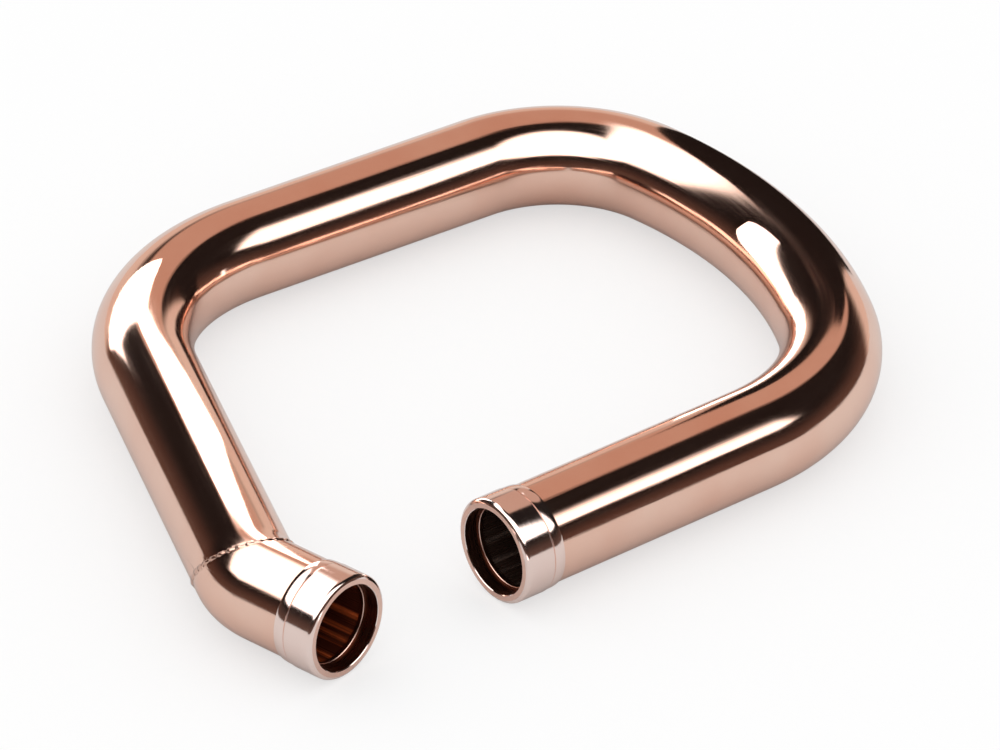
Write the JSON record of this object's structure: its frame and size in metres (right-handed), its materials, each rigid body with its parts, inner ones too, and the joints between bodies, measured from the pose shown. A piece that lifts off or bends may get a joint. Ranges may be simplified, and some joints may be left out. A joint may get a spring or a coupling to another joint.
{
  "type": "u-bend copper tube",
  "caption": "Round copper tube bent back on itself in one plane, with a welded elbow and a turned socket collar on each mouth.",
  "frame": {"origin": "centre of the straight leg's mouth, on the tube's centre line", "axes": "+X runs into the straight leg, +Y lies in the plane of the bends towards the back run, +Z is square to that plane and points up as the part lies on the floor"},
  "size_m": [0.1937, 0.1525, 0.0234],
  "materials": {
    "tube_copper": "polished copper",
    "elbow_copper": "polished copper",
    "collar_copper": "turned and polished copper"
  },
  "bodies": {
    "root": {"bent_tube": "tube_copper", "end_elbow": "elbow_copper", "leg_collar": "collar_copper", "elbow_collar": "collar_copper"}
  },
  "joints": []
}
